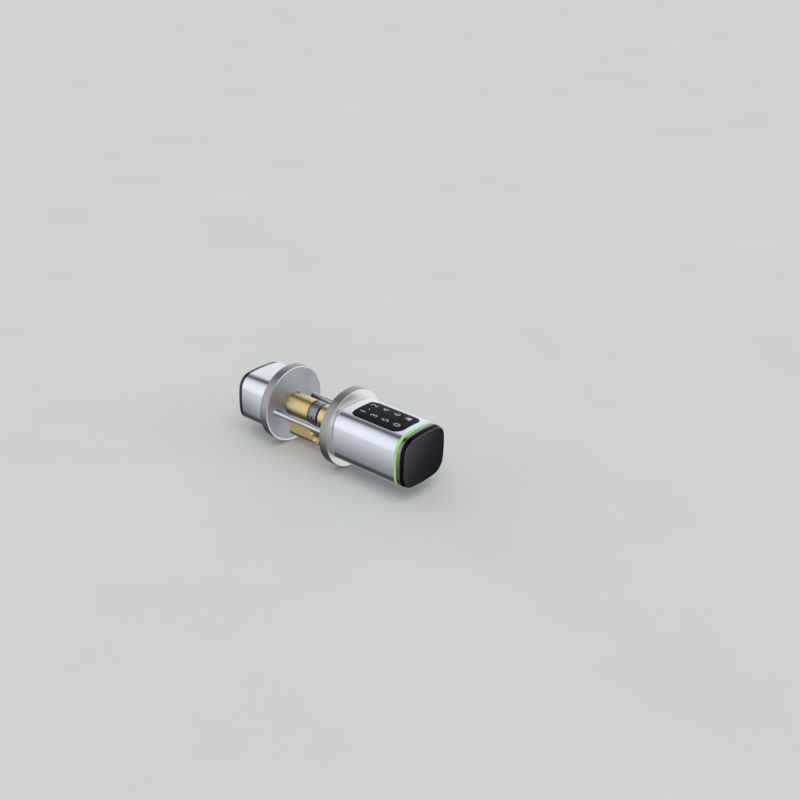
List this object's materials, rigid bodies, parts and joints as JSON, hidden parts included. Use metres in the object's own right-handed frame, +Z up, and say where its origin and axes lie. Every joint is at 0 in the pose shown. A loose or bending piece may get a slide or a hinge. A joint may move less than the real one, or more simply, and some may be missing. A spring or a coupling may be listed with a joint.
{
  "type": "keypad smart lock",
  "caption": "Keypad knob on a euro-profile door cylinder, with a motor clutch, light ring, round roses and a plain inner knob",
  "frame": {"origin": "on the knob axis, in the plane of the outer rose's back, which is the door's outer face", "axes": "+Z up, -Y out of the door towards the keypad knob, +Y into the building, +X to the right when facing the door from outside"},
  "size_m": [0.056, 0.1525, 0.056],
  "materials": {
    "satin_aluminium": "fine blasted and anodised",
    "satin_nickel": "warm satin nickel",
    "gloss_black": "gloss black moulding",
    "keypad_glass": "hard-coated smoked window",
    "plate_black": "satin dark grey",
    "green_diffuser": "translucent diffuser, lit green",
    "black_plastic": "fine matte moulding",
    "zinc_base": "cast zinc",
    "brass": "machined",
    "steel": "turned and zinc plated",
    "hard_steel": "hardened and oiled",
    "circuit_board": "green solder mask",
    "chip_black": "moulded",
    "light_chip": "white package",
    "copper_flex": "amber film",
    "battery_wrap": "film-wrapped can",
    "contact_metal": "nickel plated",
    "rubber": "moulded",
    "nylon": "turned",
    "motor_can": "drawn can"
  },
  "bodies": {
    "root": {"outer_rose_cover": "satin_nickel", "outer_rose_base": "zinc_base", "inner_rose_cover": "satin_nickel", "inner_rose_base": "zinc_base", "rose_bolts": "steel", "cylinder_body": "brass", "anti_drill_pins": "hard_steel"},
    "outer_knob": {"knob_sleeve": "brass", "outer_circlip": "hard_steel", "knob_housing": "satin_aluminium", "keypad_panel": "keypad_glass", "keypad_gasket": "rubber", "touch_board": "circuit_board", "keypad_lights": "light_chip", "knob_hub": "zinc_base", "hub_screws": "steel", "knob_set_screw": "hard_steel", "rose_seal": "rubber", "chassis": "black_plastic", "battery_contacts": "contact_metal", "batteries": "battery_wrap", "main_board": "circuit_board", "main_board_chips": "chip_black", "flex_cable": "copper_flex", "buzzer": "chip_black", "pogo_connector": "contact_metal", "reset_switch": "chip_black", "clutch_motor": "motor_can", "motor_bracket": "black_plastic"},
    "front_cap": {"light_ring": "green_diffuser", "end_cap": "gloss_black", "end_plate": "plate_black", "front_board": "circuit_board", "ring_lights": "light_chip", "battery_springs": "contact_metal", "antenna_board": "circuit_board"},
    "motor_screw": {"motor_screw": "steel"},
    "clutch_bolt": {"clutch_bolt": "hard_steel"},
    "reset_button": {"reset_button": "black_plastic"},
    "inner_knob": {"spindle": "steel", "cam": "hard_steel", "cam_pin": "hard_steel", "clutch_ring": "hard_steel", "turn_sleeve": "brass", "inner_circlip": "hard_steel", "inner_knob": "satin_aluminium", "inner_washer": "steel", "inner_knob_screw": "steel", "inner_end_cap": "gloss_black", "inner_thrust_ring": "nylon"}
  },
  "joints": [
    {"name": "outer_knob_turn", "type": "hinge", "parent": "root", "child": "outer_knob", "pos_m": [0, 0, 0], "axis": [0, -1, 0], "continuous": true},
    {"name": "inner_knob_turn", "type": "hinge", "parent": "root", "child": "inner_knob", "pos_m": [0, 0.025, 0], "axis": [0, -1, 0], "continuous": true},
    {"name": "front_cap_pull", "type": "slide", "parent": "outer_knob", "child": "front_cap", "axis": [0, -1, 0], "range_m": [0, 0.03]},
    {"name": "motor_screw_turn", "type": "hinge", "parent": "outer_knob", "child": "motor_screw", "pos_m": [0, -0.03, 0.0073], "axis": [0, 1, 0], "range_deg": [0, 1080]},
    {"name": "clutch_slide", "type": "slide", "parent": "outer_knob", "child": "clutch_bolt", "axis": [0, 1, 0], "range_m": [0, 0.003]},
    {"name": "reset_button_press", "type": "slide", "parent": "outer_knob", "child": "reset_button", "axis": [0, 1, 0], "range_m": [0, 0.0004], "stiffness_N_per_m": 800, "springref_m": -0.0005}
  ],
  "couplings": [
    {"joint": "motor_screw_turn", "follows": "clutch_slide", "rad_per_m": 6283.2}
  ]
}
